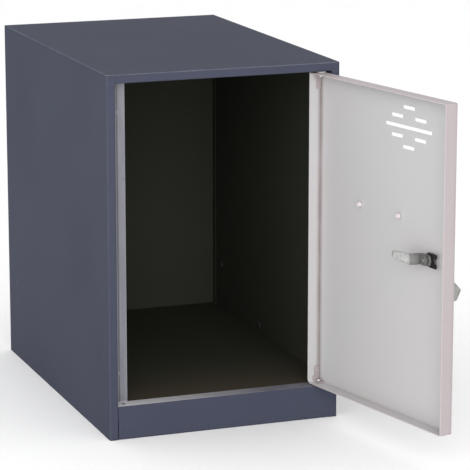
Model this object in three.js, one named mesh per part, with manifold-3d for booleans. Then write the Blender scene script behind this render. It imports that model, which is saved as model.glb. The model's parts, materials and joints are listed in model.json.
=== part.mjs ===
// Locker cabinet: a single free-standing sheet-steel cell with its inset door swung open.
// Millimetres, X to the right, Y to the back, Z up. The origin lies on the floor, in the
// middle of the plinth's foot flange. Door pieces are drawn shut and then swung to rest.
import * as THREE from 'three';
import { mergeVertices } from 'three/addons/utils/BufferGeometryUtils.js';
import Module from 'manifold-3d';

const wasm = await Module();
wasm.setup();

// Outer size of the cell
const width = 305;
const depth = 460;
const height = 460;
const frontY = -10;
const backY = frontY + depth;
const halfWidth = width / 2;

// Sheet metal
const sheet = 1;
const halfSheet = sheet / 2;
const bendRadius = 1.2;
const fitGap = 0.3;
const bendSteps = 5;
const cutOver = 2;
const overlap = 1;

// Front frame around the opening
const stileWidth = 11;
const railHeight = 11;
const revealDepth = 19;
const plinthHeight = 43;
const footDepth = 20;
const openHalf = halfWidth - stileWidth;
const openTop = height - railHeight;
const revealEndY = frontY + revealDepth;
const betweenStiles = openHalf - fitGap;

// Shell
const sideTop = height - sheet - fitGap;
const insideWall = halfWidth - sheet - fitGap;
const insideFlange = insideWall - sheet - fitGap;
const backReturn = 11;
const footReturn = 15;
const footReturnFrontY = frontY + 22;
const footReturnBackY = backY - 22;
const backFlange = 11.7;
const backSkinY = backY - sheet - fitGap - sheet;
const topFlange = 12;
const topFlangeFrontY = 26;
const topFlangeBackY = 436;
const floorFrontY = 11;
const floorFlange = 15;
const rearRailHeight = 41;
const rearRailDepth = 17;

// Fixing holes in both side panels: [distance behind the front, height]
const fixingHoles = [[30, 104], [275, 53], [424, 106]];
const fixingHoleRadius = 3;
const plugHeadRadius = 5;
const plugHeadThick = 1.4;
const plugShankRadius = fixingHoleRadius - fitGap;
const plugRecess = 0.2;
const plugEdge = 0.6;

// Pale strips behind the opening
const stopStripWidth = 18;
const stopStripFold = 5;
const stopStripY = revealEndY + fitGap;
const sillFold = 13;

// Door tray
const latchGap = 2;
const hingeGap = 2.7;
const doorGapTop = 2;
const doorDepth = 17.5;
const doorLeft = -openHalf + latchGap;
const doorRight = openHalf - hingeGap;
const doorBottom = plinthHeight + doorGapTop;
const doorTop = openTop - doorGapTop;
const doorSkinBackY = frontY + sheet;
const doorEdgeY = frontY + doorDepth;
const doorCorner = 1.5;
const doorHingeCorner = 6;
const doorFaceBevel = 1.1;

// Buffers on the stop strip, under the door's free edge
const bufferRadius = 4;
const bufferInset = 2.5;
const bufferFromEnds = 36;
const bufferFrontY = doorEdgeY + 0.4;

// Pin hinge and the angle the door stands open
const pivotFromEdge = 9;
const pivotBehindFace = 6.4;
const openAngle = 102.5;
const pivotX = doorRight - pivotFromEdge;
const pivotY = frontY + pivotBehindFace;
const pinRadius = 2.5;
const pinHeadRadius = 3.6;
const pinHeadHeight = 3;
const pinReach = 6;
const bushFlangeRadius = 6;
const bushNeckRadius = 3.5;
const bushNeckLength = 2.4;
const bushBore = 2.8;
const bushHoleRadius = bushNeckRadius + fitGap;
const bracketPlate = 1.5;
const bracketHeight = 20;
const bracketShelf = 7;
const bracketLegDepth = 6.6;
const bracketDepth = 9.4;
const bracketReach = 13.5;
const bracketBend = 4.6;
const pinHeadEdge = 0.6;
const pinTipEdge = 0.8;

// Vent slots, measured from the door's top edge and its hinge edge
const ventCentreX = doorRight - 185;
const ventTop = 19.7;
const ventPitch = 12.1;
const ventHeight = 4.5;
const ventShort = 23;
const ventLong = 92;
const ventSpread = 23;
const ventCorner = 1.2;

// Card holder on the outside of the door
const cardCentreX = doorRight - 129.8;
const cardCentreZ = doorTop - 154;
const cardWidth = 96;
const cardHeight = 34;
const cardSheet = 0.8;
const cardLip = 4;
const cardRoom = 2;
const cardBend = 0.8;
const cardRivetSpread = 40.3;
const rivetRadius = 1.6;
const rivetHeadRadius = 3.4;
const rivetTailRadius = 3.2;
const rivetHeadHeight = 1.1;
const rivetTailHeight = 5;
const rivetDome = 1.4;

// Lock: turning latch with a padlock eye
const lockX = doorRight - 235;
const lockZ = doorTop - 195;
const barrelRadius = 6.5;
const barrelBackY = frontY + 4.8;
const barrelEdge = 0.8;
const spindleRadius = 4.2;
const spindleBore = spindleRadius + fitGap;
const spindleSquare = 6.4;
const spindleEdge = 0.6;
const spindleRecess = 0.6;
const spindleProud = 1;
const spindleShoulder = 0.2;
const nutAcross = 16;
const nutThick = 3;
const plateThick = 2;
const plateHalfWidth = 15;
const plateBelow = 22;
const plateAbove = 50;
const plateCorner = 6;
const eyeReach = 36;
const eyeStandOff = 17.5;
const eyeRadius = 4.6;
const lugThick = 2.5;
const lugHeight = 26;
const lugHalf = 9;
const lugCorner = 6;
const lugFlare = 2;
const lugBesideHandle = 1;
const handleWidth = 12;
const hubRadius = 10.5;
const hubEdge = 1.5;
const hubStart = plateThick + 2 * fitGap;
const hubEnd = 15;
const washerFrontY = barrelBackY + 1.1;
const washerThick = 1.5;
const washerBackY = washerFrontY + washerThick;
const camFrontY = washerBackY + fitGap;
const camThick = 2.8;
const camBackY = camFrontY + camThick;
const camTongueFrontY = frontY + 21.3;
const camTongueThick = 2.5;
const camCrankStart = 8.5;
const camCrankEnd = 14.5;
const camReach = 48;
const camHeel = 8;
const camStepThick = 1.2;
const camBend = 1.5;
const camEdge = 0.6;
const camNutAcross = 12;
const camNutThick = 4;

// Lever outline: [distance out from the door's face, height above the spindle, corner radius]
const leverOutline = [
  [3.4, 7, 1],
  [14.6, 7, 3],
  [16, -8, 8],
  [29, -30.5, 14],
  [40.4, -42, 2.6],
  [33.4, -55, 2.5],
  [9, -55, 4],
  [3.4, -46, 6],
];

// Stop washer outline, seen along the spindle: [across, up, corner radius]
const washerOutline = [
  [7.5, -5, 3],
  [7.5, 5, 3],
  [1, 8, 3],
  [-6, 8.6, 2.5],
  [-16.5, 8.9, 1.6],
  [-16.5, 4.2, 1.6],
  [-6.4, 0, 1.2],
  [-16.5, -4.2, 1.6],
  [-16.5, -8.9, 1.6],
  [-6, -8.6, 2.5],
  [1, -8, 3],
];

// Cam outline, seen along the spindle: [across, up, corner radius]
const camOutline = [
  [-7, -6.8, 4],
  [camCrankEnd + 3, -6.8, 3],
  [camReach, -4.4, 4],
  [camReach, 4.4, 4],
  [camCrankEnd + 3, 6.8, 3],
  [-7, 6.8, 4],
];

const roundSteps = 36;

// One paint or metal finish per material
const finishes = {
  body: { color: 0x52566a, roughness: 0.5, metalness: 0.1 },
  pale: { color: 0xc4c3c8, roughness: 0.48, metalness: 0.1 },
  steel: { color: 0xa8a8a6, roughness: 0.35, metalness: 0.9 },
  zinc: { color: 0x8b8d8b, roughness: 0.42, metalness: 0.85 },
  black: { color: 0x242323, roughness: 0.6, metalness: 0 },
  nylon: { color: 0xdcdad2, roughness: 0.6, metalness: 0 },
};

// ---- outlines ----

// Arc that rounds a corner: its points and, for a folded strip, the left-hand normals.
function roundCorner(before, corner, after, radius, steps) {
  const toBefore = before.clone().sub(corner).normalize();
  const toAfter = after.clone().sub(corner).normalize();
  const halfAngle = Math.acos(THREE.MathUtils.clamp(toBefore.dot(toAfter), -1, 1)) / 2;
  const middle = toBefore.clone().add(toAfter).normalize();
  const centre = corner.clone().addScaledVector(middle, radius / Math.sin(halfAngle));
  const start = corner.clone().addScaledVector(toBefore, radius / Math.tan(halfAngle));
  const end = corner.clone().addScaledVector(toAfter, radius / Math.tan(halfAngle));
  const first = start.sub(centre).angle();
  let sweep = end.sub(centre).angle() - first;
  if (sweep > Math.PI) sweep -= 2 * Math.PI;
  if (sweep < -Math.PI) sweep += 2 * Math.PI;
  const side = sweep > 0 ? -1 : 1;
  const arc = [];
  for (let step = 0; step <= steps; step += 1) {
    const angle = first + sweep * step / steps;
    const spoke = new THREE.Vector2(Math.cos(angle), Math.sin(angle));
    arc.push({
      point: centre.clone().addScaledVector(spoke, radius),
      normal: spoke.multiplyScalar(side),
    });
  }
  return arc;
}

// Closed outline from corners [a, b, radius].
function roundedOutline(corners, steps = bendSteps) {
  const points = [];
  corners.forEach(([a, b, radius], index) => {
    const corner = new THREE.Vector2(a, b);
    if (!radius) {
      points.push(corner);
      return;
    }
    const last = corners[(index + corners.length - 1) % corners.length];
    const next = corners[(index + 1) % corners.length];
    const before = new THREE.Vector2(last[0], last[1]);
    const after = new THREE.Vector2(next[0], next[1]);
    roundCorner(before, corner, after, radius, steps).forEach((entry) => points.push(entry.point));
  });
  return new THREE.Shape(points);
}

// Rectangle with one radius, or four: low-left, low-right, high-right, high-left.
function rectangle(left, right, low, high, radius = 0) {
  const radii = Array.isArray(radius) ? radius : [radius, radius, radius, radius];
  return roundedOutline([
    [left, low, radii[0]],
    [right, low, radii[1]],
    [right, high, radii[2]],
    [left, high, radii[3]],
  ]);
}

function circle(a, b, radius, steps = roundSteps) {
  const points = [];
  for (let step = 0; step < steps; step += 1) {
    const angle = 2 * Math.PI * step / steps;
    points.push(new THREE.Vector2(a + radius * Math.cos(angle), b + radius * Math.sin(angle)));
  }
  return new THREE.Shape(points);
}

function hexagon(a, b, acrossFlats) {
  return circle(a, b, acrossFlats / Math.sqrt(3), 6);
}

// Sheet of even thickness folded along a middle line, with a round bend at each corner.
function foldedStrip(path, thickness = sheet, radius = bendRadius) {
  const line = path.map(([a, b]) => new THREE.Vector2(a, b));
  const stations = [];
  const squareNormal = (from, to) => {
    const along = to.clone().sub(from).normalize();
    return new THREE.Vector2(-along.y, along.x);
  };
  stations.push({ point: line[0], normal: squareNormal(line[0], line[1]) });
  for (let index = 1; index < line.length - 1; index += 1) {
    stations.push(...roundCorner(line[index - 1], line[index], line[index + 1], radius, bendSteps));
  }
  const last = line.length - 1;
  stations.push({ point: line[last], normal: squareNormal(line[last - 1], line[last]) });
  const offset = (side) => stations.map(
    ({ point, normal }) => point.clone().addScaledVector(normal, side * thickness / 2),
  );
  return new THREE.Shape([...offset(1), ...offset(-1).reverse()]);
}

// ---- solids ----

const axisX = new THREE.Vector3(1, 0, 0);
const axisY = new THREE.Vector3(0, 1, 0);
const axisZ = new THREE.Vector3(0, 0, 1);

// Outlines are drawn in (Y, Z) for an X extrusion, (X, Z) for Y and (X, Y) for Z.
function extrude(axis, shape, from, to, bevel = 0) {
  const geometry = new THREE.ExtrudeGeometry(shape, {
    depth: to - from - 2 * bevel,
    bevelEnabled: bevel > 0,
    bevelThickness: bevel,
    bevelSize: bevel,
    bevelOffset: -bevel,
    bevelSegments: 3,
  });
  geometry.translate(0, 0, bevel);
  const turn = new THREE.Matrix4();
  if (axis === 'x') {
    turn.makeBasis(axisY, axisZ, axisX).setPosition(from, 0, 0);
  } else if (axis === 'y') {
    turn.makeBasis(axisX, axisZ, axisY.clone().negate()).setPosition(0, to, 0);
  } else {
    turn.setPosition(0, 0, from);
  }
  return toSolid(geometry.applyMatrix4(turn));
}

function block(x0, x1, y0, y1, z0, z1) {
  return extrude('z', rectangle(x0, x1, y0, y1), z0, z1);
}

function rod(axis, a, b, radius, from, to) {
  return extrude(axis, circle(a, b, radius), from, to);
}

// Closed half-profile [radius, distance] turned about a line that runs along the axis.
function turned(axis, centre, profile) {
  const points = profile.map(([radius, distance]) => new THREE.Vector2(radius, distance));
  points.push(points[0].clone());
  const geometry = new THREE.LatheGeometry(points, roundSteps);
  if (axis === 'z') geometry.rotateX(Math.PI / 2);
  if (axis === 'x') geometry.rotateZ(-Math.PI / 2);
  geometry.translate(...centre);
  return toSolid(geometry);
}

function toSolid(geometry) {
  geometry.deleteAttribute('normal');
  geometry.deleteAttribute('uv');
  const merged = mergeVertices(geometry, 1e-4);
  const solid = new wasm.Manifold(new wasm.Mesh({
    numProp: 3,
    vertProperties: new Float32Array(merged.attributes.position.array),
    triVerts: new Uint32Array(merged.index.array),
  }));
  return solid.volume() < 0 ? flipped(merged) : solid;
}

function flipped(merged) {
  const order = Uint32Array.from(merged.index.array);
  for (let index = 0; index < order.length; index += 3) {
    [order[index], order[index + 1]] = [order[index + 1], order[index]];
  }
  return new wasm.Manifold(new wasm.Mesh({
    numProp: 3,
    vertProperties: new Float32Array(merged.attributes.position.array),
    triVerts: order,
  }));
}

function joined(...solids) {
  return solids.reduce((whole, piece) => whole.add(piece));
}

function cut(solid, ...tools) {
  return tools.reduce((rest, tool) => rest.subtract(tool), solid);
}

const locker = new THREE.Group();
locker.name = 'locker_cabinet';

const doorSwing = new THREE.Matrix4()
  .makeTranslation(pivotX, pivotY, 0)
  .multiply(new THREE.Matrix4().makeRotationZ(THREE.MathUtils.degToRad(openAngle)))
  .multiply(new THREE.Matrix4().makeTranslation(-pivotX, -pivotY, 0));

function addPiece(name, solid, finish, placement) {
  const result = solid.getMesh();
  const geometry = new THREE.BufferGeometry();
  geometry.setAttribute('position', new THREE.BufferAttribute(result.vertProperties, 3));
  geometry.setIndex(new THREE.BufferAttribute(result.triVerts, 1));
  if (placement) geometry.applyMatrix4(placement);
  geometry.computeVertexNormals();
  const mesh = new THREE.Mesh(geometry, new THREE.MeshStandardMaterial(finishes[finish]));
  mesh.name = name;
  locker.add(mesh);
}

function addDoorPiece(name, solid, finish) {
  addPiece(name, solid, finish, doorSwing);
}

// ---- shell ----

// Outer wall with a front stile, its inward reveal, a back return and a foot flange.
function sidePanel(side) {
  const wallX = side * (halfWidth - halfSheet);
  const stileX = side * (openHalf + halfSheet);
  const profile = foldedStrip([
    [side * (halfWidth - backReturn), backY - halfSheet],
    [wallX, backY - halfSheet],
    [wallX, frontY + halfSheet],
    [stileX, frontY + halfSheet],
    [stileX, revealEndY],
  ]);
  const inner = side * (halfWidth - footReturn);
  const foot = block(
    Math.min(wallX, inner), Math.max(wallX, inner), footReturnFrontY, footReturnBackY, 0, sheet,
  );
  const holes = fixingHoles.map(([behind, up]) => rod(
    'x', frontY + behind, up, fixingHoleRadius,
    wallX - cutOver, wallX + cutOver,
  ));
  return cut(joined(extrude('z', profile, 0, sideTop), foot), ...holes);
}

addPiece('left_side_panel', sidePanel(-1), 'body');
addPiece('right_side_panel', sidePanel(1), 'body');

// Snap-in plugs that close the fixing holes: a head inside the wall, a shank in the hole.
function holePlug(side, behind, up) {
  const headOut = side * (halfWidth - sheet - fitGap);
  const headIn = headOut - side * plugHeadThick;
  const tip = side * (halfWidth - plugRecess);
  return turned('x', [0, frontY + behind, up], [
    [0, headIn],
    [plugHeadRadius - plugEdge, headIn],
    [plugHeadRadius, headIn + side * plugEdge],
    [plugHeadRadius, headOut],
    [plugShankRadius, headOut],
    [plugShankRadius, tip],
    [0, tip],
  ]);
}

for (const [sideName, side] of [['left', -1], ['right', 1]]) {
  fixingHoles.forEach(([behind, up], index) => {
    addPiece(`hole_plug_${sideName}_${index + 1}`, holePlug(side, behind, up), 'black');
  });
}

// Roof sheet over the sides, folded down at the front into the top rail and its reveal.
function topPanel() {
  const skinZ = height - halfSheet;
  const skin = extrude(
    'z',
    rectangle(-halfWidth, halfWidth, frontY, backY, bendRadius + halfSheet),
    height - sheet, height,
  );
  const rail = extrude('x', foldedStrip([
    [topFlangeFrontY, skinZ],
    [frontY + halfSheet, skinZ],
    [frontY + halfSheet, openTop + halfSheet],
    [revealEndY, openTop + halfSheet],
  ]), -betweenStiles, betweenStiles);
  const flangeLow = height - topFlange;
  const flanges = [-1, 1].map((side) => {
    const outer = side * insideWall;
    const inner = side * (insideWall - sheet);
    return block(
      Math.min(outer, inner), Math.max(outer, inner),
      topFlangeFrontY, topFlangeBackY, flangeLow, skinZ,
    );
  });
  const rear = block(
    -insideFlange, insideFlange,
    backSkinY - fitGap - sheet, backSkinY - fitGap, flangeLow, skinZ,
  );
  const bushHole = rod(
    'z', pivotX, pivotY, bushHoleRadius, openTop - cutOver, openTop + sheet + cutOver,
  );
  return cut(joined(skin, rail, ...flanges, rear), bushHole);
}

addPiece('top_panel', topPanel(), 'body');

// Back sheet with forward flanges inside both walls.
const backPanel = extrude('z', foldedStrip([
  [-(insideWall - halfSheet), backSkinY + sheet - backFlange],
  [-(insideWall - halfSheet), backSkinY + halfSheet],
  [insideWall - halfSheet, backSkinY + halfSheet],
  [insideWall - halfSheet, backSkinY + sheet - backFlange],
]), sheet + fitGap, sideTop);
addPiece('back_panel', backPanel, 'body');

// Raised floor: a shallow tray turned upside down.
const floorBackY = backSkinY - fitGap - sheet - fitGap;
const floorPanel = cut(
  block(
    -insideFlange, insideFlange, floorFrontY, floorBackY, plinthHeight - floorFlange, plinthHeight,
  ),
  block(
    -insideFlange + sheet, insideFlange - sheet,
    floorFrontY + sheet, floorBackY - sheet,
    plinthHeight - floorFlange - cutOver, plinthHeight - sheet,
  ),
);
addPiece('floor_panel', floorPanel, 'body');

// Flush plinth between the stiles, with a foot flange on the floor.
const plinthFront = extrude('x', foldedStrip([
  [frontY + footDepth, halfSheet],
  [frontY + halfSheet, halfSheet],
  [frontY + halfSheet, plinthHeight],
]), -betweenStiles, betweenStiles);
addPiece('plinth_front', plinthFront, 'body');

// Rear foot rail under the floor.
const rearRailY = backSkinY - fitGap - halfSheet;
const rearFootRail = extrude('x', foldedStrip([
  [rearRailY - rearRailDepth, halfSheet],
  [rearRailY, halfSheet],
  [rearRailY, rearRailHeight],
]), -insideFlange, insideFlange);
addPiece('rear_foot_rail', rearFootRail, 'body');

// Pale stop behind the latch stile: an angle that closes the stile's hollow.
const leftStopStrip = extrude('z', foldedStrip([
  [-openHalf + stopStripWidth, stopStripY + halfSheet],
  [-(insideWall - halfSheet), stopStripY + halfSheet],
  [-(insideWall - halfSheet), stopStripY + stopStripFold],
]), plinthHeight + fitGap, sideTop);
addPiece('left_stop_strip', leftStopStrip, 'pale');

// Pale sill on top of the plinth, folded down behind it and bored for the lower bush.
const sillFrontY = frontY + sheet + fitGap + halfSheet;
const sillStrip = cut(
  extrude('x', foldedStrip([
    [sillFrontY, plinthHeight - sillFold],
    [sillFrontY, plinthHeight - halfSheet],
    [floorFrontY - fitGap, plinthHeight - halfSheet],
  ]), -betweenStiles, betweenStiles),
  rod('z', pivotX, pivotY, bushHoleRadius, plinthHeight - 2 * cutOver, plinthHeight + cutOver),
);
addPiece('sill_strip', sillStrip, 'pale');

// Flanged bushes for the hinge pins; direction is up for the top bush and down for the lower.
function hingeBush(faceZ, direction) {
  const flange = faceZ - direction * fitGap;
  const face = faceZ - direction * (doorGapTop - fitGap);
  return turned('z', [pivotX, pivotY, 0], [
    [bushBore, face],
    [bushFlangeRadius, face],
    [bushFlangeRadius, flange],
    [bushNeckRadius, flange],
    [bushNeckRadius, faceZ + direction * bushNeckLength],
    [bushBore, faceZ + direction * bushNeckLength],
  ]);
}

addPiece('hinge_bush_top', hingeBush(openTop, 1), 'nylon');
addPiece('hinge_bush_bottom', hingeBush(plinthHeight, -1), 'nylon');

// Pale rubber buffers the door's free edge closes against.
function stopBuffer(z) {
  return rod('y', doorLeft + bufferInset, z, bufferRadius, bufferFrontY, stopStripY - fitGap);
}

addPiece('stop_buffer_upper', stopBuffer(doorTop - bufferFromEnds), 'pale');
addPiece('stop_buffer_lower', stopBuffer(doorBottom + bufferFromEnds), 'pale');

// ---- door ----

// Slots in the face: one, two, one long, two, one.
function ventSlots() {
  const slots = [];
  const rows = [[0], [-1, 1], 'long', [-1, 1], [0]];
  rows.forEach((row, index) => {
    const z = doorTop - ventTop - index * ventPitch;
    const places = row === 'long' ? [0] : row;
    const half = (row === 'long' ? ventLong : ventShort) / 2;
    places.forEach((place) => {
      const x = ventCentreX + place * ventSpread;
      const low = z - ventHeight / 2;
      const outline = rectangle(x - half, x + half, low, low + ventHeight, ventCorner);
      slots.push(extrude('y', outline, frontY - cutOver, doorSkinBackY + cutOver));
    });
  });
  return slots;
}

// Tray with returns on all four edges, open to the back.
function doorPanel() {
  const radii = [doorCorner, doorHingeCorner, doorCorner, doorCorner];
  const outerOutline = rectangle(doorLeft, doorRight, doorBottom, doorTop, radii);
  const outer = cut(
    extrude('y', outerOutline, frontY, doorEdgeY + cutOver, doorFaceBevel),
    block(
      doorLeft - cutOver, doorRight + cutOver,
      doorEdgeY, doorEdgeY + 2 * cutOver,
      doorBottom - cutOver, doorTop + cutOver,
    ),
  );
  const room = extrude('y', rectangle(
    doorLeft + sheet, doorRight - sheet, doorBottom + sheet, doorTop - sheet,
    radii.map((radius) => radius - sheet),
  ), doorSkinBackY, doorEdgeY + cutOver);
  const through = [frontY - cutOver, doorSkinBackY + cutOver];
  const holes = [
    rod('y', lockX, lockZ, barrelRadius + fitGap, ...through),
    rod('z', pivotX, pivotY, pinRadius + fitGap, doorBottom - cutOver, doorBottom + sheet + cutOver),
    rod('z', pivotX, pivotY, pinRadius + fitGap, doorTop - sheet - cutOver, doorTop + cutOver),
  ];
  [-1, 1].forEach((side) => {
    const x = cardCentreX + side * cardRivetSpread;
    holes.push(rod('y', x, cardCentreZ, rivetRadius + fitGap, ...through));
  });
  return cut(outer, room, ...ventSlots(), ...holes);
}

addDoorPiece('door_panel', doorPanel(), 'pale');

// Corner bracket and headed pin; the same pair is turned over for the bottom.
function hingeBracket(edgeZ, direction) {
  const seat = edgeZ - direction * (sheet + fitGap);
  const wallX = doorRight - sheet - fitGap - bracketPlate / 2;
  const shelfZ = seat - direction * bracketPlate / 2;
  const front = doorSkinBackY + fitGap;
  const angle = extrude('y', foldedStrip([
    [wallX, seat - direction * bracketHeight],
    [wallX, shelfZ],
    [wallX - bracketReach, shelfZ],
  ], bracketPlate, bracketBend), front, front + bracketDepth);
  const hole = rod(
    'z', pivotX, pivotY, pinRadius + fitGap, shelfZ - bracketPlate, shelfZ + bracketPlate,
  );
  // below the bend the leg is narrower than the shelf
  const step = seat - direction * bracketShelf;
  const legEnd = seat - direction * (bracketHeight + cutOver);
  const relief = block(
    wallX - bracketPlate, wallX + bracketPlate,
    front + bracketLegDepth, front + bracketDepth + cutOver,
    Math.min(step, legEnd), Math.max(step, legEnd),
  );
  return cut(angle, hole, relief);
}

function hingePin(edgeZ, direction) {
  const headTop = edgeZ - direction * (sheet + 2 * fitGap + bracketPlate);
  const tip = edgeZ + direction * pinReach;
  return turned('z', [pivotX, pivotY, 0], [
    [0, headTop - direction * pinHeadHeight],
    [pinHeadRadius - pinHeadEdge, headTop - direction * pinHeadHeight],
    [pinHeadRadius, headTop - direction * (pinHeadHeight - pinHeadEdge)],
    [pinHeadRadius, headTop],
    [pinRadius, headTop],
    [pinRadius, tip - direction * pinTipEdge],
    [pinRadius - pinTipEdge, tip],
    [0, tip],
  ]);
}

addDoorPiece('hinge_bracket_top', hingeBracket(doorTop, 1), 'pale');
addDoorPiece('hinge_bracket_bottom', hingeBracket(doorBottom, -1), 'pale');
addDoorPiece('hinge_pin_top', hingePin(doorTop, 1), 'steel');
addDoorPiece('hinge_pin_bottom', hingePin(doorBottom, -1), 'steel');

// Card holder: a back sheet with lips turned over along its long edges.
function cardHolder() {
  const middleY = frontY - fitGap - cardSheet / 2;
  const lipY = middleY - cardRoom - cardSheet;
  const low = cardCentreZ - cardHeight / 2;
  const high = cardCentreZ + cardHeight / 2;
  const channel = extrude('x', foldedStrip([
    [lipY, low + cardLip],
    [lipY, low],
    [middleY, low],
    [middleY, high],
    [lipY, high],
    [lipY, high - cardLip],
  ], cardSheet, cardBend), cardCentreX - cardWidth / 2, cardCentreX + cardWidth / 2);
  const holes = [-1, 1].map((side) => rod(
    'y', cardCentreX + side * cardRivetSpread, cardCentreZ, rivetRadius + fitGap,
    middleY - cutOver / 2, middleY + cutOver,
  ));
  return cut(channel, ...holes);
}

addDoorPiece('card_holder', cardHolder(), 'steel');

// Blind rivet: a low head in the holder and a long formed tail inside the door.
function cardRivet(side) {
  const headY = frontY - 2 * fitGap - cardSheet;
  const tailY = doorSkinBackY + fitGap;
  return turned('y', [cardCentreX + side * cardRivetSpread, 0, cardCentreZ], [
    [0, headY - rivetHeadHeight],
    [rivetHeadRadius - rivetDome, headY - 0.8 * rivetHeadHeight],
    [rivetHeadRadius, headY - 0.3 * rivetHeadHeight],
    [rivetHeadRadius, headY],
    [rivetRadius, headY],
    [rivetRadius, tailY],
    [rivetTailRadius, tailY],
    [rivetTailRadius, tailY + 0.3 * rivetTailHeight],
    [rivetTailRadius - 0.2, tailY + 0.55 * rivetTailHeight],
    [rivetTailRadius - 0.7 * rivetDome, tailY + 0.9 * rivetTailHeight],
    [0, tailY + rivetTailHeight],
  ]);
}

addDoorPiece('card_rivet_left', cardRivet(-1), 'pale');
addDoorPiece('card_rivet_right', cardRivet(1), 'pale');

// ---- lock ----

// Outer plate with a fixed padlock lug that stands beside the handle when it points up.
function lockPlate() {
  const front = frontY - fitGap - plateThick;
  const plate = extrude('y', rectangle(
    lockX - plateHalfWidth, lockX + plateHalfWidth, lockZ - plateBelow, lockZ + plateAbove,
    plateCorner,
  ), front, frontY - fitGap);
  const lugRight = lockX - handleWidth / 2 - lugBesideHandle;
  const eyeY = frontY - eyeStandOff;
  const eyeZ = lockZ + eyeReach;
  const lugRoot = front + plateThick / 2;
  const lug = extrude('x', roundedOutline([
    [frontY - lugHeight, eyeZ - lugHalf, lugCorner],
    [lugRoot, eyeZ - lugHalf - lugFlare, 0],
    [lugRoot, eyeZ + lugHalf + lugFlare, 0],
    [frontY - lugHeight, eyeZ + lugHalf, lugCorner],
  ]), lugRight - lugThick, lugRight);
  const eye = rod('x', eyeY, eyeZ, eyeRadius, lugRight - lugThick - cutOver, lugRight + cutOver);
  const bore = rod('y', lockX, lockZ, barrelRadius + fitGap, front - cutOver, frontY + cutOver);
  return cut(joined(plate, lug), eye, bore);
}

addDoorPiece('lock_plate', lockPlate(), 'zinc');

const lockCentre = [lockX, 0, lockZ];

addDoorPiece('lock_barrel', turned('y', lockCentre, [
  [spindleBore, frontY - plateThick],
  [barrelRadius, frontY - plateThick],
  [barrelRadius, barrelBackY - barrelEdge],
  [barrelRadius - barrelEdge, barrelBackY],
  [spindleBore, barrelBackY],
]), 'zinc');

// Six-sided nut that fills the space from its front face backwards.
function lockNut(across, boreRadius, nutFrontY, thick) {
  const body = extrude('y', hexagon(lockX, lockZ, across), nutFrontY, nutFrontY + thick);
  const bore = rod(
    'y', lockX, lockZ, boreRadius, nutFrontY - cutOver, nutFrontY + thick + cutOver,
  );
  return cut(body, bore);
}

addDoorPiece(
  'barrel_nut',
  lockNut(nutAcross, barrelRadius + fitGap, doorSkinBackY + fitGap, nutThick),
  'zinc',
);

// Wedge-shaped swivel lever that hangs from a round hub and carries the padlock eye.
function handle() {
  const hub = turned('y', lockCentre, [
    [spindleBore, frontY - hubStart],
    [hubRadius, frontY - hubStart],
    [hubRadius, frontY - hubEnd + hubEdge],
    [hubRadius - hubEdge, frontY - hubEnd],
    [spindleBore, frontY - hubEnd],
  ]);
  const profile = leverOutline.map(([out, up, radius]) => [frontY - out, lockZ + up, radius]);
  const lever = extrude(
    'x', roundedOutline(profile), lockX - handleWidth / 2, lockX + handleWidth / 2,
  );
  const eye = rod(
    'x', frontY - eyeStandOff, lockZ - eyeReach, eyeRadius,
    lockX - handleWidth, lockX + handleWidth,
  );
  const bore = rod('y', lockX, lockZ, spindleBore, frontY - hubEnd - cutOver, frontY);
  return cut(joined(hub, lever), eye, bore);
}

addDoorPiece('handle', handle(), 'steel');

// Spindle: round through the hub and barrel, square under the washer and cam.
const spindleFrontY = frontY - hubEnd + spindleRecess;
const spindleBackY = camBackY + fitGap + camNutThick + spindleProud;
const squareStartY = barrelBackY + spindleShoulder;

function spindle() {
  const half = spindleSquare / 2;
  const square = rectangle(lockX - half, lockX + half, lockZ - half, lockZ + half, spindleEdge);
  return joined(
    rod('y', lockX, lockZ, spindleRadius, spindleFrontY, squareStartY),
    extrude('y', square, squareStartY - overlap, camBackY + fitGap / 2),
    rod('y', lockX, lockZ, half - fitGap, camBackY - overlap, spindleBackY),
  );
}

addDoorPiece('spindle', spindle(), 'steel');

function squareHole(frontOfHole, backOfHole) {
  const half = spindleSquare / 2 + fitGap;
  return extrude('y', rectangle(
    lockX - half, lockX + half, lockZ - half, lockZ + half,
  ), frontOfHole - cutOver, backOfHole + cutOver);
}

// Outline given from the lock's centre, moved to the lock.
function atLock(outline) {
  return roundedOutline(outline.map(([across, up, radius]) => [lockX + across, lockZ + up, radius]));
}

// Black stop washer with two horns towards the free edge.
addDoorPiece('stop_washer', cut(
  extrude('y', atLock(washerOutline), washerFrontY, washerBackY),
  squareHole(washerFrontY, washerBackY),
), 'black');

// Cranked cam: a block on the spindle, a steep step, and a tapering tongue with a round tip.
function cam() {
  const tongueBackY = camTongueFrontY + camTongueThick;
  const inner = lockX - camHeel;
  const outer = lockX + camReach + cutOver;
  const side = roundedOutline([
    [inner, camFrontY, camEdge],
    [lockX + camCrankStart + camStepThick, camFrontY, camBend],
    [lockX + camCrankEnd + camStepThick, camTongueFrontY, camBend],
    [outer, camTongueFrontY, camEdge],
    [outer, tongueBackY, camEdge],
    [lockX + camCrankEnd - camStepThick, tongueBackY, camBend],
    [lockX + camCrankStart - camStepThick, camBackY, camBend],
    [inner, camBackY, camEdge],
  ]);
  const strap = extrude('z', side, lockZ - camHeel, lockZ + camHeel);
  const mask = extrude('y', atLock(camOutline), camFrontY - cutOver, tongueBackY + cutOver);
  return cut(strap.intersect(mask), squareHole(camFrontY, camBackY));
}

addDoorPiece('cam', cam(), 'steel');

addDoorPiece(
  'cam_nut',
  lockNut(camNutAcross, spindleSquare / 2, camBackY + fitGap, camNutThick),
  'zinc',
);

export default locker;
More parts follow.
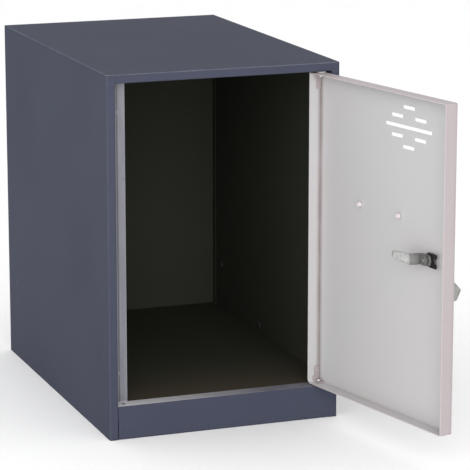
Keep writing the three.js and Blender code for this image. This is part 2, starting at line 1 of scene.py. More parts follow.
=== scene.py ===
# Locker cabinet: folded sheet-steel cell, open door on pin hinges, turning latch.
import json
import math
import bmesh
import bpy
import numpy as np
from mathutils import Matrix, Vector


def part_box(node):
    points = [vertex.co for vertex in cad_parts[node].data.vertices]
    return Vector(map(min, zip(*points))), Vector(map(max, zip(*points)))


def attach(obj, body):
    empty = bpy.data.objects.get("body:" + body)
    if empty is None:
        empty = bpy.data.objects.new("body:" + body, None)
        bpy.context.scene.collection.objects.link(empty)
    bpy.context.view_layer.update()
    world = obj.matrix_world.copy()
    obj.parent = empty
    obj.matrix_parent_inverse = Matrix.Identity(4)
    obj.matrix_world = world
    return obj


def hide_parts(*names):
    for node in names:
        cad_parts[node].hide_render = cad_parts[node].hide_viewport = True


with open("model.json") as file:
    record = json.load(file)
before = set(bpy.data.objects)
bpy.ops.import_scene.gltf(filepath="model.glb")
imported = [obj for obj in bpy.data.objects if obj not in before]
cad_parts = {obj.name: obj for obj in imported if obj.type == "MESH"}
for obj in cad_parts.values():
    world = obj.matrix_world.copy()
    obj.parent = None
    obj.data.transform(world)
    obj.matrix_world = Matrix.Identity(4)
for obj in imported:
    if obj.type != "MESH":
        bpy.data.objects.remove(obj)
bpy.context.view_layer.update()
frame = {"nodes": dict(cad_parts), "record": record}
record = frame["record"]
nodes = frame["nodes"]
joints = {joint["name"]: joint for joint in record["behaviour"]["joints"]}
mm = 0.001

# pieces on the door are worked out with the door shut, then swung to rest
hinge = joints["door_hinge"]
swing = -math.radians(hinge["range_deg"][0])
pivot = np.array(hinge["pos_m"])
turn = np.array([[math.cos(swing), -math.sin(swing), 0.0],
                 [math.sin(swing), math.cos(swing), 0.0],
                 [0.0, 0.0, 1.0]])


def swung(points):
    # a point keeps its distance from the pin line and turns about it by the swing
    return (points - pivot) @ turn.T + pivot


def unswung(points):
    # the same turn the other way
    return (np.array(points) - pivot) @ turn + pivot


lock = unswung(joints["latch_turn"]["pos_m"])  # on the door's outer face, door shut
faceY = lock[1]


def closedMesh(name, grids):
    # each grid is rows by columns of points: the columns close on themselves, and the rows do
    # too, or the first and last rows shrink to poles
    vertices, faces, start = [], [], 0
    for points, wrapRows in grids:
        rows, columns = points.shape[:2]
        index = start + np.arange(rows * columns).reshape(rows, columns)
        if wrapRows:
            low, high = index, np.roll(index, -1, axis=0)
        else:
            low, high = index[:-1], index[1:]
        quads = np.stack([low, high, np.roll(high, -1, axis=1), np.roll(low, -1, axis=1)], axis=-1)
        faces.append(quads.reshape(-1, 4))
        vertices.append(points.reshape(-1, 3))
        start += rows * columns
    mesh = bpy.data.meshes.new(name)
    mesh.from_pydata(np.concatenate(vertices).tolist(), [], np.concatenate(faces).tolist())
    work = bmesh.new()
    work.from_mesh(mesh)
    bmesh.ops.remove_doubles(work, verts=work.verts, dist=1e-7)
    bmesh.ops.dissolve_degenerate(work, edges=work.edges, dist=1e-7)
    bmesh.ops.recalc_face_normals(work, faces=work.faces)
    work.to_mesh(mesh)
    work.free()
    mesh.update()
    thing = bpy.data.objects.new(name, mesh)
    bpy.context.scene.collection.objects.link(thing)
    return thing


def smooth(thing, angle=35):
    # smooth shading, broken where faces meet more sharply than the angle
    for polygon in thing.data.polygons:
        polygon.use_smooth = True
    thing.data.set_sharp_from_angle(angle=math.radians(angle))
    return thing


def roundCorners(corners, steps=6):
    # corners [a, b, radius] become arcs tangent to both sides; returns points in order
    corner = np.array(corners, float)
    place, radius = corner[:, :2], corner[:, 2]
    back = np.roll(place, 1, axis=0) - place
    ahead = np.roll(place, -1, axis=0) - place
    back /= np.linalg.norm(back, axis=1)[:, None]
    ahead /= np.linalg.norm(ahead, axis=1)[:, None]
    half = np.arccos(np.clip((back * ahead).sum(axis=1), -1, 1)) / 2
    middle = back + ahead
    middle /= np.linalg.norm(middle, axis=1)[:, None]
    centre = place + middle * (radius / np.sin(half))[:, None]
    first = place + back * (radius / np.tan(half))[:, None] - centre
    last = place + ahead * (radius / np.tan(half))[:, None] - centre
    a0 = np.arctan2(first[:, 1], first[:, 0])
    sweep = np.arctan2(last[:, 1], last[:, 0]) - a0
    sweep = (sweep + np.pi) % (2 * np.pi) - np.pi
    angle = a0[:, None] + sweep[:, None] * np.linspace(0, 1, steps)[None, :]
    arc = centre[:, None, :] + radius[:, None, None] * np.stack([np.cos(angle), np.sin(angle)], -1)
    return arc.reshape(-1, 2)


def evenly(outline, count):
    # the same outline with points at equal steps along it
    loop = np.vstack([outline, outline[:1]])
    reach = np.concatenate([[0], np.cumsum(np.linalg.norm(np.diff(loop, axis=0), axis=1))])
    at = np.linspace(0, reach[-1], count, endpoint=False)
    return np.stack([np.interp(at, reach, loop[:, 0]), np.interp(at, reach, loop[:, 1])], -1)


def outward(outline):
    # unit normals of an anticlockwise outline: its direction turned a quarter to the right
    along = np.roll(outline, -1, axis=0) - np.roll(outline, 1, axis=0)
    along /= np.linalg.norm(along, axis=1)[:, None] + 1e-12
    return np.stack([along[:, 1], -along[:, 0]], -1)


def anticlockwise(outline):
    # turned round when twice its area, the sum of cross products, is negative
    a, b = outline[:, 0], outline[:, 1]
    area = (a * np.roll(b, -1) - b * np.roll(a, -1)).sum()
    return outline if area > 0 else outline[::-1]


def holedPlate(outline, hole, low, high, edge, fill=3, arc=4, holeEdge=0.15):
    # a plate with one hole: the grid runs round the outline one way, and the other way from the
    # hole's rim over the top face, round the rounded outer edge, back under and up the hole
    outer = anticlockwise(outline)
    inner = hole(outer)
    away = outward(outer)
    apart = outer - inner
    apart /= np.linalg.norm(apart, axis=1)[:, None]
    bend = np.linspace(0, np.pi / 2, arc)
    rows = []

    def put(base, height):
        rows.append(np.column_stack([base, np.full(len(base), height)]))

    put(inner, low + holeEdge)
    put(inner, high - holeEdge)
    put(inner + apart * holeEdge, high)
    rim = outer - away * edge
    for share in np.linspace(0, 1, fill + 2)[1:-1]:
        put(inner + apart * holeEdge + (rim - inner - apart * holeEdge) * share, high)
    for angle in bend:
        put(outer - away * edge * (1 - math.sin(angle)), high - edge * (1 - math.cos(angle)))
    for angle in bend[::-1]:
        put(outer - away * edge * (1 - math.sin(angle)), low + edge * (1 - math.cos(angle)))
    for share in np.linspace(1, 0, fill + 2)[1:-1]:
        put(inner + apart * holeEdge + (rim - inner - apart * holeEdge) * share, low)
    put(inner + apart * holeEdge, low)
    return np.stack(rows)


def roundHole(centre, radius):
    # each rim point lies on the line from the hole's centre to its outline point
    def rim(outer):
        spoke = outer - centre
        return centre + radius * spoke / np.linalg.norm(spoke, axis=1)[:, None]
    return rim


def squareHole(centre, half):
    # the same for a square: the larger part of the spoke is brought to half its width
    def rim(outer):
        spoke = outer - centre
        return centre + half * spoke / np.abs(spoke).max(axis=1)[:, None]
    return rim


def hexagon(across, count=144, corner=0.8):
    # corners at across / sqrt(3) from the middle
    angle = np.arange(6) * np.pi / 3
    reach = across / math.sqrt(3)
    corners = np.column_stack([reach * np.cos(angle), reach * np.sin(angle), np.full(6, corner)])
    return evenly(roundCorners(corners), count)


def nutFaces(grid, across, low, high):
    # both faces fall away at thirty degrees outside the circle that touches the flats
    radius = np.hypot(grid[..., 0], grid[..., 1])
    drop = np.maximum(0, radius - across / 2 + 0.3) * math.tan(math.radians(30))
    grid[..., 2] = np.clip(grid[..., 2], low + drop, high - drop)
    return grid


def lathe(profile, turns=64):
    # radius and distance along the axis, carried round it: rows along the profile
    profile = np.array(profile, float)
    angle = np.linspace(0, 2 * np.pi, turns, endpoint=False)
    ring = np.stack([np.cos(angle), np.sin(angle)], -1)
    flat = profile[:, 0][:, None, None] * ring[None]
    return np.concatenate([flat, np.broadcast_to(
        profile[:, 1][:, None, None], flat.shape[:2] + (1,))], axis=-1)


def alongDoor(grid):
    # plate space (across, up, stand-off from the door's face) to the shut door, then swung
    points = np.stack([lock[0] + grid[..., 0] * mm, faceY - grid[..., 2] * mm,
                       lock[2] + grid[..., 1] * mm], -1)
    return swung(points)


def besideDoor(grid):
    # plate space (stand-off, up, sideways): for plates that stand square to the door
    points = np.stack([lock[0] + grid[..., 2] * mm, faceY - grid[..., 0] * mm,
                       lock[2] + grid[..., 1] * mm], -1)
    return swung(points)


class Value:
    # a number's socket; Python's operators on it add Math nodes
    def __init__(self, finish, socket):
        self.finish = finish
        self.socket = socket

    def maths(self, operation, *items, clamp=False):
        return self.finish.node("Math", {"operation": operation, "use_clamp": clamp},
                                dict(enumerate(items)))

    def __add__(self, other):
        return self.maths("ADD", self, other)

    def __sub__(self, other):
        return self.maths("SUBTRACT", self, other)

    def __rsub__(self, other):
        return self.maths("SUBTRACT", other, self)

    def __mul__(self, other):
        return self.maths("MULTIPLY", self, other)

    def __truediv__(self, other):
        return self.maths("DIVIDE", self, other)

    def __abs__(self):
        return self.maths("ABSOLUTE", self)

    __radd__ = __add__
    __rmul__ = __mul__

    def held(self):
        return self.maths("ADD", self, 0.0, clamp=True)

    def ramp(self, low, high):
        # 0 below low and 1 above high
        return ((self - low) / (high - low)).held()

    def near(self, place, reach):
        # 1 at the place and 0 further than reach from it
        return (1 - abs(self - place) / reach).held()


class Finish:
    # a material with one Principled shader; its methods add nodes and give Values back
    def __init__(self, name):
        self.material = bpy.data.materials.new(name)
        self.material.use_nodes = True
        self.tree = self.material.node_tree
        self.tree.nodes.clear()
        self.shader = self.tree.nodes.new("ShaderNodeBsdfPrincipled")
        output = self.tree.nodes.new("ShaderNodeOutputMaterial")
        self.tree.links.new(self.shader.outputs[0], output.inputs[0])
        self.place = self.node("TexCoord", output="Object")

    def put(self, socket, item):
        if isinstance(item, Value):
            self.tree.links.new(item.socket, socket)
        else:
            socket.default_value = item

    def node(self, kind, settings=None, values=None, output=0):
        made = self.tree.nodes.new("ShaderNode" + kind)
        for key, item in (settings or {}).items():
            setattr(made, key, item)
        for key, item in (values or {}).items():
            self.put(made.inputs[key], item)
        return Value(self, made.outputs[output])

    def noise(self, scale, detail=3, roughness=0.55, stretch=(1, 1, 1)):
        spot = self.node("Mapping", values={"Vector": self.place, "Scale": stretch})
        return self.node("TexNoise", values={"Vector": spot, "Scale": scale, "Detail": detail,
                                             "Roughness": roughness})

    def mix(self, factor, first, second):
        colours = [item if isinstance(item, Value) else (*item, 1) for item in (first, second)]
        return self.node("Mix", {"data_type": "RGBA"}, {0: factor, 6: colours[0], 7: colours[1]},
                         output=2)

    def parts(self, place=None):
        split = self.node("SeparateXYZ", values={0: place or self.place})
        outputs = split.socket.node.outputs
        return [Value(self, outputs[index]) for index in range(3)]

    def bump(self, height, strength, distance, below=None):
        values = {"Height": height, "Strength": strength, "Distance": distance}
        if below is not None:
            values["Normal"] = below
        return self.node("Bump", values=values)

    def shade(self, colour, roughness, normal=None, metal=0.0, **sockets):
        for name, item in {"Base Color": colour, "Roughness": roughness, "Metallic": metal,
                           **sockets}.items():
            if name == "Base Color" and not isinstance(item, Value):
                item = (*item, 1)
            self.put(self.shader.inputs[name], item)
        if normal is not None:
            self.put(self.shader.inputs["Normal"], normal)
        return self.material


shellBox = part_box("left_side_panel")
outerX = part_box("right_side_panel")[1][0]
frontY = shellBox[0][1]
backY = shellBox[1][1]
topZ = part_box("top_panel")[1][2]
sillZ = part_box("sill_strip")[1][2]
doorBottom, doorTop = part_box("door_panel")[0][2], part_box("door_panel")[1][2]

coat = {"waveScale": 9.0, "wave": 0.12, "waveHeight": 1.2 * mm, "detail": 2, "evenness": 0.5}


def paintPeel(finish, scale, height, strength=0.35):
    # powder coat: fine orange peel over slow waves in the sheet
    peel = finish.noise(scale, coat["detail"], coat["evenness"])
    waves = finish.noise(coat["waveScale"], 1, 0.4)
    first = finish.bump(waves, coat["wave"], coat["waveHeight"])
    return finish.bump(peel, strength, height, first), peel


bodyLook = {
    "colour": (0.0505, 0.0548, 0.0805), "light": (0.0580, 0.0628, 0.0905),
    "dark": (0.0440, 0.0478, 0.0715), "wornAndHighlight": (0.170, 0.176, 0.206),
    "shaded": (0.022, 0.024, 0.034), "inside": (0.0360, 0.0382, 0.0290),
    "insideLightAndDust": (0.062, 0.048, 0.036), "roughness": 0.60, "specular": 0.03,
    "peel": 950.0, "peelHeight": 0.12 * mm, "cloud": 5.0, "grain": 420.0, "rub": 60.0,
    "scuff": 26.0, "scuffTop": 0.14, "dust": 34.0,
    "wearAndHighlightFrom": 1.3 * mm, "wearAndHighlightFull": 0.3 * mm, "rail": 11 * mm, "railWearAndHighlight": 0.7 * mm,
    "stile": 11 * mm, "fold": 1.0 * mm, "foldFrom": 0.040, "foot": 2.2 * mm, "corner": 3 * mm,
    "skin": (0.6 * mm, 0.9 * mm), "mouth": (10 * mm, 13 * mm), "rearSkin": (1.45 * mm, 1.65 * mm),
    "insideLightBack": 0.16, "insideLightTop": 0.10, "insideLightFoot": 0.042,
}


def bodyPaint(look=bodyLook):
    finish = Finish("body paint")
    x, y, z = finish.parts()
    normal, peel = paintPeel(finish, look["peel"], look["peelHeight"])
    cloud = finish.noise(look["cloud"], 4, 0.6)
    grain = finish.noise(look["grain"], 2, 0.6)
    colour = finish.mix(cloud.ramp(0.32, 0.68), look["dark"], look["light"])
    colour = finish.mix(0.45, colour, look["colour"])
    colour = finish.mix(grain.ramp(0.4, 0.72) * 0.22, colour, look["light"])
    # edges where two outer faces meet are a little lighter: partly wear, partly a painted highlight
    start, full = look["wearAndHighlightFrom"], look["wearAndHighlightFull"]
    side = abs(x).ramp(outerX - start, outerX - full)
    front = y.ramp(frontY + start, frontY + 0.2 * mm)
    roof = z.ramp(topZ - start, topZ - full)
    rail = z.near(topZ - look["rail"], look["railWearAndHighlight"]) * front
    edge = (side * roof + roof * front + side * front * 0.5 + rail * 0.4).held()
    rub = finish.noise(look["rub"], 4, 0.7).ramp(0.34, 0.66)
    colour = finish.mix(edge * (rub * 0.55 + 0.25), colour, look["wornAndHighlight"])
    # painted shade on the front folds: round the opening, down the right corner and along the foot
    low, high = look["foldFrom"], topZ - 10 * mm
    sides = z.ramp(low, low + 4 * mm) * z.ramp(high, high - 2 * mm)
    fold = abs(x).near(outerX - look["stile"] + 0.4 * mm, look["fold"]) * sides
    foot = z.near(0.0, look["foot"]) * 0.6
    corner = x.ramp(outerX - look["corner"], outerX - 1.2 * mm) * 0.5
    shade = (fold * 0.7 + foot + corner).held() * front
    colour = finish.mix(shade, colour, look["shaded"])
    # thin dusty scuffs low on the walls
    scuff = finish.noise(look["scuff"], 5, 0.75, stretch=(1, 1, 5)).ramp(0.60, 0.78)
    colour = finish.mix(scuff * z.ramp(look["scuffTop"], 0.02) * 0.16, colour, look["wornAndHighlight"])
    # the inner faces are darker: painted shade for the dim inside
    inner = abs(x).ramp(outerX - look["skin"][0], outerX - look["skin"][1])
    deep = y.ramp(frontY + look["mouth"][0], frontY + look["mouth"][1])
    notBack = y.ramp(backY - look["rearSkin"][0], backY - look["rearSkin"][1])
    below = z.ramp(topZ - look["skin"][0], topZ - look["skin"][1])
    inside = inner * deep * notBack * below
    # painted light falling in through the opening, lighter towards the front and the floor
    insideLight = y.ramp(look["insideLightBack"], frontY + 20 * mm) * z.ramp(look["insideLightTop"], look["insideLightFoot"])
    dark = finish.mix(insideLight * 0.8, look["inside"], look["insideLightAndDust"])
    dust = finish.noise(look["dust"], 4, 0.7).ramp(0.5, 0.8)
    dark = finish.mix(dust * 0.16, dark, look["insideLightAndDust"])
    colour = finish.mix(inside, colour, dark)
    roughness = (peel * 0.10 + look["roughness"] - 0.05 + edge * 0.08 + inside * 0.14).held()
    return finish.shade(colour, roughness, normal, **{"Specular IOR Level": look["specular"]})


doorLook = {
    "colour": (0.487, 0.483, 0.485), "cool": (0.475, 0.481, 0.484), "warm": (0.500, 0.462, 0.469),
    "return": (0.345, 0.300, 0.309), "outer": (0.395, 0.370, 0.376), "edge": (0.56, 0.49, 0.50),
    "grimeAndShade": (0.215, 0.17, 0.166), "roughness": 0.46, "specular": 0.42, "peel": 900.0,
    "peelHeight": 0.11 * mm, "cloud": 4.2, "patch": 38.0, "speck": 240.0, "wall": 1.1 * mm,
}
doorEdges = {"left": -139.5 * mm, "right": 138.8 * mm, "depth": 17.5 * mm}  # door shut


def doorSpace(finish):
    # the door as if it were shut: turned back about the pin line
    shift = pivot - turn.T @ pivot
    return finish.node("Mapping", {"vector_type": "POINT"}, {
        "Vector": finish.place, "Rotation": (0, 0, -swing), "Location": tuple(shift)})


def doorPaint(look=doorLook):
    finish = Finish("door paint")
    x, y, z = finish.parts(doorSpace(finish))
    normal, peel = paintPeel(finish, look["peel"], look["peelHeight"], 0.3)
    cloud = finish.noise(look["cloud"], 3, 0.55)
    colour = finish.mix(cloud.ramp(0.35, 0.65), look["cool"], look["warm"])
    colour = finish.mix(0.55, colour, look["colour"])
    left, right, wall = doorEdges["left"], doorEdges["right"], look["wall"]
    face = float(faceY)
    rawEdge = face + doorEdges["depth"]
    # the returns catch a rosier tone, strongest at their raw edge and along the bends
    returns = (x.near(left, wall) + x.ramp(right - 0.6 * mm, right - 0.3 * mm)
               + z.near(doorTop, wall) + z.near(doorBottom, wall)).held()
    colour = finish.mix(returns * 0.9, colour, look["return"])
    outer = y.ramp(face + 0.6 * mm, face + 0.3 * mm)
    colour = finish.mix(outer * 0.9, colour, look["outer"])
    raw = y.ramp(rawEdge - 0.8 * mm, rawEdge - 0.1 * mm)
    colour = finish.mix(raw * 0.55, colour, look["edge"])
    # painted shade in the inner bends, on the inside only
    inner = y.ramp(face + 0.8 * mm, face + 1.0 * mm)
    bend = y.ramp(face + 6.2 * mm, face + 1.0 * mm)
    nearHinge = x.ramp(right - 8.5 * mm, right - 3 * mm) * bend * 1.25
    nearLatch = x.ramp(left + 4.6 * mm, left + 1.2 * mm) * bend * 0.35
    nearEnds = (z.ramp(doorTop - 5 * mm, doorTop - 1 * mm)
                + z.ramp(doorBottom + 5 * mm, doorBottom + 1 * mm))
    patch = finish.noise(look["patch"], 4, 0.65, stretch=(1, 1, 0.25)).ramp(0.25, 0.75)
    darkening = (nearHinge + nearLatch + nearEnds.held() * bend * 0.3) * inner
    colour = finish.mix((darkening * (patch * 0.5 + 0.35)).held(), colour, look["grimeAndShade"])
    speck = finish.noise(look["speck"], 2, 0.5).ramp(0.72, 0.80)
    colour = finish.mix(speck * 0.10, colour, look["grimeAndShade"])
    roughness = (peel * 0.12 + look["roughness"] - 0.06 + darkening * 0.15).held()
    return finish.shade(colour, roughness, normal, **{"Specular IOR Level": look["specular"]})


stopLook = {
    "colour": (0.155, 0.155, 0.184), "light": (0.198, 0.198, 0.227), "markAndShade": (0.05, 0.048, 0.05),
    "sillPale": (0.60, 0.59, 0.61), "fold": (0.36, 0.355, 0.38), "roughness": 0.42, "specular": 0.42,
    "peel": 880.0, "peelHeight": 0.12 * mm, "streak": 30.0, "rub": 140.0, "band": 1.6 * mm,
    "foldX": -123.5 * mm, "darkSpotX": -131.2 * mm, "darkSpotY": 1 * mm, "gapX": -133.8 * mm,
}


def stopPaint(look=stopLook):
    finish = Finish("stop paint")
    normal, peel = paintPeel(finish, look["peel"], look["peelHeight"])
    x, y, z = finish.parts()
    band = look["band"]
    streak = finish.noise(look["streak"], 4, 0.6, stretch=(3, 3, 0.5)).ramp(0.3, 0.7)
    colour = finish.mix(streak, look["colour"], look["light"])
    rub = finish.noise(look["rub"], 3, 0.7).ramp(0.62, 0.78)
    colour = finish.mix(rub * 0.3, colour, look["markAndShade"])
    # painted highlight along the strip's fold
    fold = (x.near(look["foldX"], 0.9 * mm) * 0.6).held()
    colour = finish.mix(fold, colour, look["fold"])
    # the sill is paler towards the latch side, with one dark spot by the strip
    sill = z.near(sillZ, band)
    colour = finish.mix(sill * x.ramp(0.06, -0.12) * 0.85, colour, look["sillPale"])
    darkSpot = x.near(look["darkSpotX"], 3 * mm) * y.near(look["darkSpotY"], 5 * mm) * sill
    colour = finish.mix((darkSpot * 1.8).held(), colour, look["markAndShade"])
    # painted shade: a thin dark line where the strip meets the stile
    gap = x.near(look["gapX"], band) * z.ramp(sillZ, sillZ + 1 * mm)
    colour = finish.mix((gap * 1.4).held() * 0.8, colour, look["markAndShade"])
    return finish.shade(colour, peel * 0.1 + look["roughness"], normal,
                        **{"Specular IOR Level": look["specular"]})


plating = {"mottle": 160.0, "fine": 1500.0, "pits": 620.0, "grime": 75.0, "line": 0.06 * mm,
           "pit": 0.10 * mm}


def plated(name, tone, shade, roughness=0.3, scratch=1.0, metal=0.85, cast=0.0,
           turnScale=(1, 1, 1)):
    # plated or cast metal: mottled tone, fine scratches, grime in the hollows of a slow noise
    finish = Finish(name)
    mottle = finish.noise(plating["mottle"], 5, 0.65)
    fine = finish.noise(plating["fine"], 3, 0.6, stretch=turnScale)
    pits = finish.noise(plating["pits"], 3, 0.7)
    colour = finish.mix(mottle.ramp(0.30, 0.70), shade, tone)
    grime = finish.noise(plating["grime"], 4, 0.6).ramp(0.56, 0.76)
    colour = finish.mix(grime * 0.45, colour, tuple(part * 0.35 for part in shade))
    roughs = (mottle * 0.16 + fine * 0.12 * scratch + roughness - 0.08 + grime * 0.18).held()
    lines = finish.bump(fine, 0.22 * scratch, plating["line"])
    normal = finish.bump(pits, 0.15 + cast, plating["pit"] * (1 + 2 * cast), lines)
    return finish.shade(colour, roughs, normal, metal)


def moulded(name, tone, roughness, grain=700.0, sheen=0.4):
    # rubber or plastic: a slow paler cloud over fine grain
    finish = Finish(name)
    grainy = finish.noise(grain, 3, 0.6)
    slow = finish.noise(45.0, 3, 0.5)
    light = tuple(part * 1.6 + 0.006 for part in tone)
    colour = finish.mix(slow.ramp(0.3, 0.75) * 0.6, tone, light)
    normal = finish.bump(grainy, 0.3, 0.09 * mm)
    return finish.shade(colour, grainy * 0.16 + roughness - 0.08, normal,
                        **{"Specular IOR Level": sheen})


camLook = {
    "tongue": (0.66, 0.66, 0.645), "block": (0.18, 0.184, 0.176), "darkening": (0.07, 0.07, 0.066),
    "mottle": 210.0, "fine": 1300.0, "roughness": 0.32, "metal": 0.35,
    "step": (13.5 * mm, 16.5 * mm), "rim": (3.2 * mm, 6.8 * mm), "tip": (45.5 * mm, 47.5 * mm),
}


def camSteel(look=camLook):
    # dull plating: bright on the tongue, handled dark on the block and round its edges
    finish = Finish("cam steel")
    x, y, z = finish.parts(doorSpace(finish))
    away = x - float(lock[0])
    mottle = finish.noise(look["mottle"], 4, 0.65)
    fine = finish.noise(look["fine"], 3, 0.6, stretch=(1, 1, 6))
    colour = finish.mix(away.ramp(*look["step"]), look["block"], look["tongue"])
    rim = abs(z - float(lock[2])).ramp(*look["rim"]) * (1 - away.ramp(20 * mm, 50 * mm) * 0.5)
    tip = away.ramp(*look["tip"])
    handled = (mottle.ramp(0.35, 0.7) * 0.4 + rim * 0.35 + tip * 0.45).held()
    colour = finish.mix(handled, colour, look["darkening"])
    normal = finish.bump(mottle, 0.3, 0.2 * mm, finish.bump(fine, 0.2, 0.05 * mm))
    return finish.shade(colour, fine * 0.14 + mottle * 0.14 + look["roughness"], normal,
                        look["metal"])


looks = {
    "body_paint": bodyPaint(),
    "stop_paint": stopPaint(),
    "door_paint": doorPaint(),
    "bush_nylon": moulded("bush nylon", (0.40, 0.39, 0.37), 0.5),
    "bracket_paint": plated("bracket paint", (0.40, 0.345, 0.35), (0.32, 0.275, 0.28), 0.5, 0.3,
                            metal=0.0),
    "rivet_metal": plated("rivet metal", (0.66, 0.60, 0.615), (0.58, 0.53, 0.54), 0.5, 0.3,
                          metal=0.0),
    "plug_plastic": moulded("plug plastic", (0.020, 0.021, 0.025), 0.5),
    "buffer_rubber": moulded("buffer rubber", (0.135, 0.135, 0.155), 0.6),
    "pin_steel": plated("pin steel", (0.62, 0.61, 0.59), (0.40, 0.40, 0.39), 0.28),
    "holder_steel": plated("holder steel", (0.44, 0.44, 0.44), (0.33, 0.33, 0.335), 0.34,
                           turnScale=(1, 1, 14)),
    "lock_zinc": plated("lock zinc", (0.26, 0.26, 0.255), (0.15, 0.15, 0.15), 0.45, cast=0.1),
    "handle_metal": plated("handle metal", (0.40, 0.395, 0.38), (0.25, 0.25, 0.245), 0.42,
                           cast=0.25),
    "washer_black": moulded("washer black", (0.009, 0.008, 0.008), 0.5, sheen=0.2),
    "cam_steel": camSteel(),
}
print("materials ready")


# CAD nodes keep their shape: welded, with flat faces joined and a soft edge
softEdge = {"width": 0.22 * mm, "segments": 2, "angle": 40, "flatWithin": 0.5, "weldWithin": 1e-6}
slots = {entry["node"]: entry["material_slot"] for entry in record["subparts"]}


def dressNode(name):
    thing = nodes[name]
    material = looks[slots[name]]
    if not thing.material_slots:
        thing.data.materials.append(material)
    for holder in thing.material_slots:
        holder.material = material
    weld = thing.modifiers.new("weld", "WELD")
    weld.merge_threshold = softEdge["weldWithin"]
    flat = thing.modifiers.new("flat faces", "DECIMATE")
    flat.decimate_type = "DISSOLVE"
    flat.angle_limit = math.radians(softEdge["flatWithin"])
    bevel = thing.modifiers.new("edge", "BEVEL")
    bevel.width = softEdge["width"]
    bevel.segments = softEdge["segments"]
    bevel.limit_method = "ANGLE"
    bevel.angle_limit = math.radians(softEdge["angle"])
    bevel.harden_normals = False
    bevel.use_clamp_overlap = True
    even = thing.modifiers.new("even shading", "WEIGHTED_NORMAL")
    even.weight = 50
    even.keep_sharp = True


for name in nodes:
    dressNode(name)
print("CAD nodes dressed")


def fit(thing, body, slot, *replaced):
    # give a new piece its finish and body, and hide the CAD nodes it stands for
    thing.data.materials.append(looks[slot])
    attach(thing, body)
    if replaced:
        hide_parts(*replaced)
    return thing


# the lock's sizes are in millimetres from its centre on the door's face: across, up, stand-off
plate = {"halfWidth": 15, "below": 22, "above": 50, "corner": 6, "low": 0.3, "thick": 2,
         "bore": 6.8, "edge": 0.7}
lug = {"eyeOut": 17.5, "eyeUp": 36, "eye": 4.6, "reach": 26, "half": 9, "thick": 2.5,
       "right": -7.0, "edge": 0.6, "corner": 6, "foot": 1.4, "footCorner": 0.8, "flare": 2}


def lockPlate():
    # a rounded oblong with a round bore, and a lug that stands square to it
    p, ear = plate, lug
    half, corner = p["halfWidth"], p["corner"]
    face = evenly(roundCorners([[-half, -p["below"], corner], [half, -p["below"], corner],
                                [half, p["above"], corner], [-half, p["above"], corner]]), 200)
    flat = holedPlate(face, roundHole(np.zeros(2), p["bore"]), p["low"], p["low"] + p["thick"],
                      p["edge"])
    low, high = ear["eyeUp"] - ear["half"], ear["eyeUp"] + ear["half"]
    side = evenly(roundCorners([
        [ear["reach"], low, ear["corner"]], [ear["reach"], high, ear["corner"]],
        [ear["foot"], high + ear["flare"], ear["footCorner"]],
        [ear["foot"], low - ear["flare"], ear["footCorner"]]]), 160)
    stand = holedPlate(side, roundHole(np.array([ear["eyeOut"], ear["eyeUp"]]), ear["eye"]),
                       ear["right"] - ear["thick"], ear["right"], ear["edge"])
    thing = closedMesh("lockPlate", [(alongDoor(flat), True), (besideDoor(stand), True)])
    return fit(smooth(thing), "door", "lock_zinc", "lock_plate")


lever = {"half": 6, "edge": 1.3, "eyeOut": 17.5, "eyeUp": -36, "eye": 4.6, "eyeEdge": 0.7,
         "waist": 0.10, "waistUp": -17, "waistLong": 9, "thin": 0.06, "thinFrom": 20,
         "thinLong": 18, "outline": [
             [3.4, 7, 1.4], [14.6, 7, 3], [16, -8, 8], [29, -30.5, 14], [40.4, -42, 2.6],
             [33.4, -55, 2.5], [9, -55, 4], [3.4, -46, 6]]}
hub = {"bore": 4.5, "radius": 10.5, "low": 2.6, "high": 15, "edge": 1.6, "groove": 0.45,
       "grooveLow": 5.4, "grooveHigh": 7.2, "slope": 0.4, "ringOut": 7.6, "ringIn": 5.1, "dip": 0.5}


def handle():
    # a wedge-shaped lever with a padlock eye, on a round hub with one groove round it
    p, h = lever, hub
    side = evenly(roundCorners(p["outline"], 8), 320)
    blade = holedPlate(side, roundHole(np.array([p["eyeOut"], p["eyeUp"]]), p["eye"]),
                       -p["half"], p["half"], p["edge"], fill=14, arc=6, holeEdge=p["eyeEdge"])
    # the blade thins a little towards its outer nose and is waisted half way down
    out, up = blade[..., 0], blade[..., 1]
    waist = p["waist"] * np.exp(-((up - p["waistUp"]) / p["waistLong"]) ** 2)
    blade[..., 2] *= 1 - waist - p["thin"] * np.clip((out - p["thinFrom"]) / p["thinLong"], 0, 1)
    wide, top, slope, low = h["radius"], h["high"], h["slope"], h["low"]
    neck = wide - h["groove"]
    floorRing = top - h["dip"]
    crown = [[wide - h["edge"] * (1 - math.cos(a)), top - h["edge"] * (1 - math.sin(a))]
             for a in np.linspace(0, np.pi / 2, 7)]
    ring = [[h["bore"], low], [wide - slope, low], [wide, low + slope],
            [wide, h["grooveLow"]], [neck, h["grooveLow"] + slope],
            [neck, h["grooveHigh"] - slope], [wide, h["grooveHigh"]],
            *crown, [h["ringOut"], top], [h["ringOut"] - h["dip"], floorRing],
            [h["ringIn"] + h["dip"], floorRing], [h["ringIn"], top], [h["bore"], top]]
    thing = closedMesh("handle", [(besideDoor(blade), True), (alongDoor(lathe(ring, 72)), True)])
    return fit(smooth(thing), "latch", "handle_metal", "handle")


barrel = {"bore": 4.5, "radius": 6.5, "front": 2.0, "back": -4.8, "pitch": 1.0, "thread": 0.42,
          "plain": 1.0, "runOut": 0.6, "least": 0.25, "backChamfer": 0.35, "frontChamfer": 0.3}


def threadWave(turns, axis, pitch):
    # a triangle wave that climbs one pitch for each turn
    phase = (axis / pitch - turns / (2 * np.pi)) % 1.0
    return np.abs(phase - 0.5) * 2


